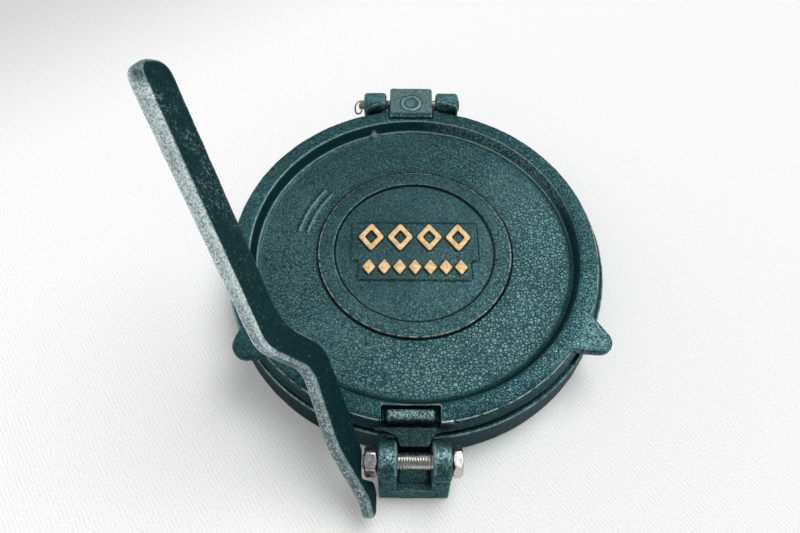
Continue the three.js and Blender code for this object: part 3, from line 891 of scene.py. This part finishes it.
def worn_and_lit_front(s, color):
    """Flecks as light as bare metal on the nose and on the tops of the fork's two eyes: partly paint
    rubbed to metal, partly painted highlight where they face the light.
    """
    fleck = s.times(s.blotches(3 * MM, 3, 0.28, 0.58, rough=0.6), glints(s, 0.6 * MM, 0.2, 0.95))
    nose = s.times(
        s.span(s.z, RIM_TOP - 1.2 * MM, RIM_TOP - 0.3 * MM),
        s.fade(s.y, -92, -94), s.fade(s.y, -100.5, -99.5), s.fade(s.off(s.x, NOSE_X), 12.5, 11),
    )
    eyes = s.times(s.span(s.z, BOLT_Z + 5 * MM, BOLT_Z + 9 * MM), s.fade(s.off(s.y, BOLT_Y), 6.5, 1.5))
    # The share of painted highlight and rubbed metal on the nose and the eyes
    worn = s.largest(s.times(nose, 0.6), s.times(eyes, 0.75))
    return s.over(color, RUBBED_AND_LIT_IRON, s.times(worn, fleck))


def recess_wall(s, color, r, above, low_right):
    """The wall is darkened with painted shade, less toward the back, with painted glints where the light
    meets it, and stands in a gutter of painted shade, darkest at the lower right.
    """
    wall = s.times(
        s.span(r, WALL_FOOT + 0.2 * MM, WALL_FOOT + 0.9 * MM),
        s.span(r, RECESS_RADIUS - 0.1 * MM, RECESS_RADIUS - 0.7 * MM), above,
    )
    color = s.over(color, s.mix(s.fade(s.y, -10, 75), WALL_SHADE_NEAR, WALL_SHADE_FAR), wall, 0.75)
    sunny = s.times(s.fade(s.toward(0.64, 0.77), 70, 88), wall)
    lit_flecks = s.scaled(glints(s, 0.72 * MM, 0.35, 0.95), 0.78, 0.08)
    color = s.over(color, WALL_GLINT, s.times(lit_flecks, sunny))
    # Painted shade in the gutter at the wall's foot
    gutter = s.times(
        s.span(r, WALL_FOOT - 5 * MM, WALL_FOOT + 0.3 * MM),
        s.span(r, WALL_FOOT + 2.5 * MM, WALL_FOOT + 1 * MM), above,
    )
    return s.over(color, GUTTER_SHADE, s.times(gutter, s.scaled(low_right, 0.6, 0.1)))


def pad_ring(s, color):
    """The worn hinge pad, with painted shade lines beside its raised ring and a painted highlight on it.
    """
    pad = s.times(s.span(s.z, RIM_TOP + 0.6 * MM, RIM_TOP + 1.4 * MM), s.fade(s.y, 96, 98))
    color = s.over(color, PAD_WORN, s.times(pad, s.blotches(1.3 * MM, 3, 0.3, 0.65, 0.15, 0.6)))
    r = s.radius(PAD_RING_AT)
    shade_beside = s.largest(
        line_at(s, r, PAD_RING + 0.6 * MM, 0.7 * MM),
        line_at(s, r, PAD_RING - PAD_RING_WIDTH - 0.5 * MM, 0.6 * MM),
    )
    color = s.over(color, PAD_SHADE, s.times(shade_beside, pad), 0.7)
    on_ring = s.times(line_at(s, r, PAD_RING - 0.4 * MM, 0.6 * MM), pad)
    return s.over(color, PAD_HIGHLIGHT, s.times(on_ring, s.blotches(1.1 * MM, 3, 0.35, 0.6, 0.1, 0.7)))


def rim_side(s, color, r):
    """The rim's outer side is darkened with painted shade, darkest at the lower left behind the lever."""
    below_top = s.span(s.z, RIM_TOP - 2 * MM, RIM_TOP - 3.2 * MM)
    outer = s.times(below_top, s.span(r, RIM_RADIUS - 1 * MM, RIM_RADIUS))
    color = s.over(color, RIM_SIDE_SHADE, outer, 0.6)
    shadowed = s.times(outer, s.fade(s.x, -30, -50), s.fade(s.y, 0, -30))
    return s.over(color, RIM_SHADOW, shadowed, 0.7)


def mark_arc(s):
    """The stretch of its circle that the casting mark takes, with soft ends."""
    swept = s.math("ARCTAN2", s.y, s.x)
    ends = ((MARK_FROM, MARK_FROM + MARK_FADE), (MARK_TO, MARK_TO - MARK_FADE))
    return s.times(*(s.span(swept, math.radians(start), math.radians(end)) for start, end in ends))


def lid_lines(s, color):
    """The recess wall, and the thin lines of painted highlight and painted shade that follow the lid's
    circles.
    """
    r = s.radius()
    above = s.span(s.z, LID_FLOOR - 1 * MM, LID_FLOOR - 0.5 * MM)
    low_right = s.fade(s.toward(0.6, -0.8), -20, 60)
    color = recess_wall(s, color, r, above, low_right)
    color = rim_side(s, pad_ring(s, color), r)
    grainy = s.blotches(0.8 * MM, 3, 0.35, 0.6, 0.35, 1)
    broken = s.blotches(2.4 * MM, 4, 0.38, 0.6, rough=0.6)
    # Painted highlights on the recess edges away from the lower right, and on the rim's outer edge mostly
    # at the lower right
    lit_side = s.times(grainy, s.scaled(low_right, -0.95, 1))
    crisp = s.times(
        s.span(s.z, RIM_TOP - 1.6 * MM, RIM_TOP - 1 * MM), s.scaled(low_right, 0.85, 0.15),
        s.span(s.attribute("edge"), 0.006, 0.02), s.blotches(4 * MM, 4, 0.4, 0.54, 0.15, 1),
    )
    arc = s.times(mark_arc(s), grainy)
    inner_mark = MARK_RADIUS - MARK_SPACING
    # Painted shade beside raised edges and painted highlights on them, as radius, half width, colour,
    # share and masks
    lines = (
        (RING_OUTER + 0.75 * MM, 0.75 * MM, RING_SHADE, 0.9, ()),
        (RING_OUTER - 0.35 * MM, 0.42 * MM, RING_HIGHLIGHT, 0.8, (broken,)),
        (RING_INNER - 0.55 * MM, 0.62 * MM, RING_SHADE, 0.8, ()),
        (RING_INNER + 0.35 * MM, 0.35 * MM, INNER_RING_HIGHLIGHT, 0.6, (broken,)),
        (RIM_RADIUS - 0.3 * MM, 0.42 * MM, RIM_HIGHLIGHT, 0.9, (crisp,)),
        (RECESS_RADIUS + 0.1 * MM, 0.5 * MM, RECESS_HIGHLIGHT, 0.75, (lit_side,)),
        (WALL_FOOT, 0.5 * MM, FOOT_HIGHLIGHT, 0.85, (lit_side,)),
        (MARK_RADIUS + 0.3 * MM, 0.55 * MM, MARK_SHADE, 0.75, (arc,)),
        (MARK_RADIUS - MARK_WIDTH, 0.5 * MM, MARK_HIGHLIGHT, 0.6, (arc,)),
        (inner_mark + 0.3 * MM, 0.55 * MM, MARK_SHADE, 0.75, (arc,)),
        (inner_mark - MARK_WIDTH, 0.5 * MM, MARK_HIGHLIGHT, 0.6, (arc,)),
    )
    for where, half, paint, most, masks in lines:
        line = s.times(line_at(s, r, where, half), above, *masks)
        color = s.over(color, paint, line, most)
    flaw = s.fade(s.radius(FLAW_AT), 2.4, 1)
    return s.over(color, FLAW_WORN, s.times(flaw, above), 0.7)


LEVER_DARK = (0.003, 0.02, 0.024)
LEVER_GREEN = (0.01, 0.05, 0.055)
LEVER_CHIP = (0.22, 0.33, 0.33)
LEVER_SHEEN = (0.35, 0.6, 0.62)
STRIP_SHADE = (0.008, 0.07, 0.08)
STRIP_HIGHLIGHT = (0.84, 1.0, 1.0)
STRIP_GLINT = (0.95, 1.0, 1.0)
LEVER_EDGE = (0.82, 1.0, 0.98)


def chipped_green(s):
    """Green-black paint with light chips, which are thickest high up the lever, and a few painted glints.
    """
    color = s.mix(s.blotches(0.55 * MM, 2, 0.3, 0.7), LEVER_DARK, LEVER_GREEN)
    patch = s.times(s.blotches(16 * MM, 3, 0.42, 0.62), s.fade(s.z, 84, 122, 0.05, 1))
    chips = s.blotches(1.4 * MM, 4, 0.51, 0.64, rough=0.78)
    chips = s.times(chips, s.scaled(patch, 0.8, 0.03))
    return s.over(color, LEVER_CHIP, s.largest(chips, s.times(glints(s, 0.8 * MM, 0.95, 1.0), 0.24)))


def strip_highlight(s, flake):
    """The narrow side painted as a silvery highlight in flakes, brightest in the middle of the lever, with
    painted shade at its tip and low down.
    """
    lit = s.times(
        s.fade(s.z, 148, 144.5, 0.05, 0.96), s.fade(s.z, 80, 104, 0.47, 1),
        s.fade(s.z, 30, 80, 0.45, 1), s.blotches(11 * MM, 3, 0.35, 0.65, 0.9, 1.08),
    )
    glow = s.times(s.span(flake, 0, 1, 0.3, 1.24, smooth=False), lit)
    spark = s.times(glints(s, 0.75 * MM, 0.74, 0.96), s.fade(s.z, 120, 84, 0.2, 0.5))
    return s.over(s.mix(glow, STRIP_SHADE, STRIP_HIGHLIGHT), STRIP_GLINT, spark)


def lever_paint():
    """The lever's green-black paint, with a painted silvery highlight along its upward narrow side, and
    painted highlights with some rubbed paint on its edges.
    """
    s = Shader("lever_green")
    strip = s.attribute("strip")
    flake = s.pick(s.cells(0.62 * MM, "F1"))
    # The upward-facing narrow side takes the painted highlight
    color = s.mix(strip, chipped_green(s), strip_highlight(s, flake))
    # Painted highlights, with some rubbed paint, along the edges of the narrow side, most at middle height
    rubbed = s.times(
        s.span(strip, 0.02, 0.3, 0.1, 0.95), s.span(flake, 0.1, 0.7, 0.4, 1),
        s.fade(s.z, 126, 98, 0.2, 1), s.fade(s.z, 56, 76, 0.3, 1),
    )
    color = edge_lines(s, color, LEVER_EDGE, rubbed, 0.03, 0.048)
    height = s.math("ADD", s.noise(0.7 * MM), s.times(s.noise(4 * MM), 1.6))
    rough = s.scaled(strip, 0.02, 0.36)
    metal = s.scaled(strip, -0.2, 0.35)
    sheen = s.mix(strip, LEVER_SHEEN, WHITE)
    return s.finish(color, rough, metal, s.bump(height, 0.2 * MM, 0.7), 0.14, sheen)


IRON_DARK = (0.23, 0.22, 0.21)
IRON_LIGHT = (0.31, 0.3, 0.29)
IRON_GROOVE = (0.09, 0.085, 0.08)
IRON_PORE = (0.06, 0.055, 0.05)
TURNING_PITCHES = (1.3 * MM, 4.9 * MM)


def bare_iron():
    """Machined press faces: fine and wide turning marks, pores, and a thin film of oil."""
    s = Shader("machined_iron")
    fine, wide = (s.math("SINE", s.times(s.radius(), 2 * math.pi / pitch)) for pitch in TURNING_PITCHES)
    marks = s.scaled(wide, 0.7, fine)
    blot = s.noise(28 * MM, 3)
    color = s.mix(s.span(blot, 0.3, 0.7), IRON_DARK, IRON_LIGHT)
    color = s.over(color, IRON_GROOVE, s.span(marks, -1.7, 1.7, 0.35, 0))
    color = s.over(color, IRON_PORE, s.blotches(1.6 * MM, 2, 0.3, 0.38, 0.7, 0))
    rough = s.span(blot, 0.3, 0.7, 0.34, 0.46)
    height = s.scaled(s.noise(1 * MM, 3), 0.6, marks)
    return s.finish(color, rough, 0.9, s.bump(height, 0.05 * MM, 0.6))


ZINC_DULL = (0.34, 0.33, 0.31)
ZINC_CLEAN = (0.52, 0.51, 0.49)
ZINC_RUBBED = (0.78, 0.76, 0.72)


def zinc():
    """Zinc plate with dull patches, rubbed bright on the thread and the bolt's head."""
    s = Shader("zinc_plate")
    blot = s.noise(2.2 * MM, 4)
    color = s.mix(s.span(blot, 0.3, 0.7), ZINC_DULL, ZINC_CLEAN)
    rubbed = s.largest(s.fade(s.off(s.x, FORK_X), 10, 9, 0, 0.5), s.fade(s.x, 14, 16, 0, 0.3))
    color = s.over(color, ZINC_RUBBED, rubbed)
    rough = s.span(blot, 0.3, 0.7, 0.22, 0.36)
    return s.finish(color, rough, 1.0, s.bump(s.noise(0.5 * MM, 3), 0.04 * MM, 0.6))


WIRE_DULL = (0.62, 0.58, 0.52)
WIRE_PALE = (0.86, 0.84, 0.8)


def bright_wire():
    """The split pin's pale, nearly white wire."""
    s = Shader("pale_wire")
    color = s.mix(s.noise(1.5 * MM, 3), WIRE_DULL, WIRE_PALE)
    return s.finish(color, 0.38, 0.7, s.bump(s.noise(0.5 * MM), 0.03 * MM, 0.5))


PIN_STEEL = (0.42, 0.39, 0.36)
PIN_RUST = (0.17, 0.1, 0.06)


def dull_steel():
    """The hinge pin's grey steel with patches of rust."""
    s = Shader("pin_steel")
    rust = s.blotches(2.5 * MM, 4, 0.45, 0.62)
    color = s.mix(rust, PIN_STEEL, PIN_RUST)
    rough = s.span(rust, 0, 1, 0.35, 0.7)
    return s.finish(color, rough, s.span(rust, 0, 1, 1, 0.3), s.bump(rust, 0.05 * MM, 0.5))


GOLD_DEEP = (0.6, 0.36, 0.14)
GOLD_PALE = (0.9, 0.63, 0.32)
GOLD_SPECK = (0.25, 0.13, 0.05)
MOTIF_TEAL_DARK = (0.006, 0.025, 0.028)
MOTIF_TEAL = (0.03, 0.075, 0.08)


def gold_paint():
    """Hand-applied pale gold on the motif's tops, with the teal showing on its sides."""
    s = Shader("motif_gold")
    ragged = s.scaled(s.noise(1.1 * MM, 3), 0.5 * MM, s.z)
    top = s.span(ragged, MOTIF_TOP - 0.42 * MM, MOTIF_TOP - 0.2 * MM)
    gold = s.mix(s.blotches(1.6 * MM, 4, 0.3, 0.7), GOLD_DEEP, GOLD_PALE)
    gold = s.over(gold, GOLD_SPECK, s.blotches(0.5 * MM, 2, 0.6, 0.72), 0.35)
    teal = s.mix(s.noise(0.8 * MM), MOTIF_TEAL_DARK, MOTIF_TEAL)
    rough = s.span(top, 0, 1, 0.4, 0.5)
    return s.finish(s.mix(top, teal, gold), rough, 0.15, s.bump(s.noise(0.6 * MM, 3), 0.12 * MM, 0.7))


RIB_PITCH = 1.9 * MM
RIB_WANDER = 2.6 * MM


def cloth_floor():
    """Off-white cloth with a fine slanting rib, darkened toward the far left corner as painted shade. The
    camera and reflections see it a little brighter.
    """
    s = Shader("white_cloth")
    across = s.math("ADD", s.toward(0.81, 0.59), s.times(s.noise(7 * MM, 3), RIB_WANDER))
    rib = s.math("SINE", s.times(across, 2 * math.pi / RIB_PITCH))
    thread = s.noise(1.3 * MM, 4, 0.65)
    weave = s.scaled(s.times(rib, s.blotches(6 * MM, 2, 0.35, 0.65)), 0.2, thread)
    corner_shade = s.fade(s.toward(-0.62, 0.78), 210, 420, 1, 0.68)
    shade = s.times(s.span(weave, 0.22, 0.72, 0.8, 0.95), corner_shade)
    s.finish(s.mix(shade, BLACK, WHITE), 0.9, 0.0, s.bump(weave, 0.12 * MM, 0.5), 0.2)
    path = s.nodes.new("ShaderNodeLightPath").outputs
    seen = s.largest(path["Is Camera Ray"], path["Is Glossy Ray"], path["Is Transmission Ray"])
    glow = s.nodes.new("ShaderNodeEmission")
    s.feed(glow.inputs["Color"], WHITE)
    s.feed(glow.inputs["Strength"], s.times(seen, corner_shade, FLOOR_GLOW))
    both = s.nodes.new("ShaderNodeAddShader")
    s.links.new(s.bsdf.outputs[0], both.inputs[0])
    s.links.new(glow.outputs[0], both.inputs[1])
    s.links.new(both.outputs[0], s.out.inputs[0])
    return s.material


# The castings and the hardware in place

teal_lid = hammertone("hammertone_lid", True)
teal_base = hammertone("hammertone_base", False)
iron = bare_iron()
steel = zinc()

lid = casting("lid", "lid_casting", LID_GRID, 3, (0, 0))
lump(lid, *FLAW_AT, FLAW_RADIUS, FLAW_HEIGHT)
lid.data.materials.append(teal_lid)
lid.data.materials.append(iron)
bare_faces(lid, LID_FACE, -1)

base = casting("base", "base_casting", BASE_GRID, 3, BASE_MIDDLE)
base.data.materials.append(teal_base)
base.data.materials.append(iron)
bare_faces(base, BASE_FACE, 1)

lever = casting("lever", "lever_bar", LEVER_GRID, 4)
mark_strip(lever)
lever.data.materials.append(lever_paint())

motif = make_motif()
motif.data.materials.append(gold_paint())

bolt = make_bolt()
bolt.data.materials.append(steel)
nut = make_nut()
nut.data.materials.append(steel)

pin_finish = dull_steel()
pin = make_hinge_pin()
pin.data.materials.append(pin_finish)
wire = make_split_pin()
wire.data.materials.append(bright_wire())

for piece, body, node, slot in (
    (lid, "lid", "lid", "painted_iron"),
    (base, "base", "base", "painted_iron"),
    (lever, "lever", "lever", "lever_iron"),
    (bolt, "base", "fork_bolt", "zinc_steel"),
    (nut, "base", "fork_nut", "zinc_steel"),
    (pin, "base", "hinge_pin", "pin_steel"),
    (wire, "base", "split_pin", "pin_steel"),
    (motif, "lid", None, "painted_iron"),
):
    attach(piece, body)
    if node:
        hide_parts(node)


# Floor, lights and camera

FLOOR_HALF = 9
FLOOR_BELOW = 0.05 * MM
KEY_FROM = (0.38, 0.42, 1)
KEY_WIDE = 42
KEY_POWER = 2.05
WINDOW_AT = (-2.3, 1.25, 0.52)
WINDOW_AIM = (-0.05, 0, 0.06)
WINDOW_SIZE = (2, 0.85)
WINDOW_POWER = 15
ROOM_BRIGHT_FROM = (-0.6, 0.25, 0.76)
ROOM_FROM = (-0.4, 0.24)
ROOM_TO = (1, 0.46)


def make_floor():
    rows = range(3)
    points = [((i - 1) * FLOOR_HALF, (j - 1) * FLOOR_HALF, 0) for j in rows for i in rows]
    wide = len(rows)
    corners = [j * wide + i for j in rows[:-1] for i in rows[:-1]]
    faces = [(a, a + 1, a + wide + 1, a + wide) for a in corners]
    floor = new_object("cloth_floor", points, faces)
    floor.location.z = -FLOOR_BELOW
    floor.data.materials.append(cloth_floor())


def turned_to(way):
    return Vector(way).to_track_quat("-Z", "Y").to_euler()


def make_lights():
    """A wide soft key from above, and a low window behind on the left."""
    sun = bpy.data.lights.new("key_overhead", "SUN")
    sun.angle = math.radians(KEY_WIDE)
    sun.energy = KEY_POWER
    in_scene("key_overhead", sun).rotation_euler = turned_to(-Vector(KEY_FROM))
    window = bpy.data.lights.new("low_back_left", "AREA")
    window.shape = "RECTANGLE"
    window.size, window.size_y = WINDOW_SIZE
    window.energy = WINDOW_POWER
    lamp = in_scene("low_back_left", window)
    lamp.location = WINDOW_AT
    lamp.rotation_euler = turned_to(Vector(WINDOW_AIM) - Vector(WINDOW_AT))


def make_room():
    """A white room that is brighter toward the upper left."""
    world = bpy.data.worlds.new("studio")
    world.use_nodes = True
    nodes, links = world.node_tree.nodes, world.node_tree.links
    way = nodes.new("ShaderNodeTexCoord").outputs["Generated"]
    toward = nodes.new("ShaderNodeVectorMath")
    toward.operation = "DOT_PRODUCT"
    links.new(way, toward.inputs[0])
    toward.inputs[1].default_value = Vector(ROOM_BRIGHT_FROM).normalized()
    ramp = nodes.new("ShaderNodeMapRange")
    ramp.interpolation_type = "SMOOTHSTEP"
    for end, (facing, strength) in (("Min", ROOM_FROM), ("Max", ROOM_TO)):
        ramp.inputs["From " + end].default_value = facing
        ramp.inputs["To " + end].default_value = strength
    links.new(toward.outputs["Value"], ramp.inputs["Value"])
    shade = nodes["Background"]
    links.new(ramp.outputs[0], shade.inputs["Strength"])
    shade.inputs["Color"].default_value = (*WHITE, 1)
    bpy.context.scene.world = world


def make_camera():
    data = bpy.data.cameras.new("camera")
    data.lens = LENS
    data.sensor_width = SENSOR
    data.sensor_fit = "HORIZONTAL"
    data.clip_start = 0.01
    down_by, roll, yaw = (math.radians(a) for a in (CAMERA_DOWN, CAMERA_ROLL, CAMERA_YAW))
    level = math.cos(down_by)
    ahead = Vector((math.sin(yaw) * level, math.cos(yaw) * level, -math.sin(down_by)))
    right = Vector((math.cos(yaw), -math.sin(yaw), 0))
    down = ahead.cross(right)
    turned_right = math.cos(roll) * right + math.sin(roll) * down
    turned_down = -math.sin(roll) * right + math.cos(roll) * down
    columns = (turned_right, -turned_down, -ahead)
    turn = Matrix([[c[i] for c in columns] for i in range(3)])
    camera = in_scene("camera", data)
    camera.matrix_world = Matrix.Translation(CAMERA_AT) @ turn.to_4x4()
    bpy.context.scene.camera = camera


make_floor()
make_lights()
make_room()
make_camera()
bpy.context.scene.view_settings.view_transform = "Standard"
bpy.context.scene.view_settings.look = "None"
